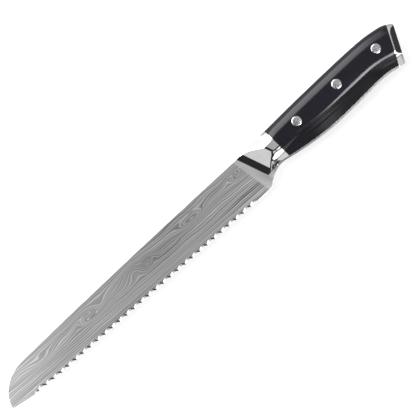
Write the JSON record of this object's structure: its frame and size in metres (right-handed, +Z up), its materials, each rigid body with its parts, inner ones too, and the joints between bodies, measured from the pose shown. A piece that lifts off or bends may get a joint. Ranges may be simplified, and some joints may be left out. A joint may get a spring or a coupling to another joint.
{
  "type": "bread knife",
  "caption": "Serrated bread knife with a full tang, polished bolster and end cap, and a riveted black handle.",
  "frame": {"origin": "bottom centre of the box around the whole knife, on the surface that its right side lies on", "axes": "+X from the blade's tip to the butt, +Y from the cutting edge to the spine, +Z up out of the left side"},
  "size_m": [0.33, 0.0334, 0.019],
  "materials": {
    "etched_steel": "satin stainless steel with an etched wavy pattern",
    "polished_steel": "mirror-polished stainless steel",
    "black_scale": "satin black resin-bonded laminate",
    "rivet_steel": "fine-ground stainless steel"
  },
  "bodies": {
    "root": {"blade": "etched_steel", "bolster_left": "polished_steel", "bolster_right": "polished_steel", "end_cap": "polished_steel", "scale_left": "black_scale", "scale_right": "black_scale", "rivet_front_pin": "rivet_steel", "rivet_front_barrel": "rivet_steel", "rivet_middle_pin": "rivet_steel", "rivet_middle_barrel": "rivet_steel", "rivet_rear_pin": "rivet_steel", "rivet_rear_barrel": "rivet_steel"}
  },
  "joints": []
}
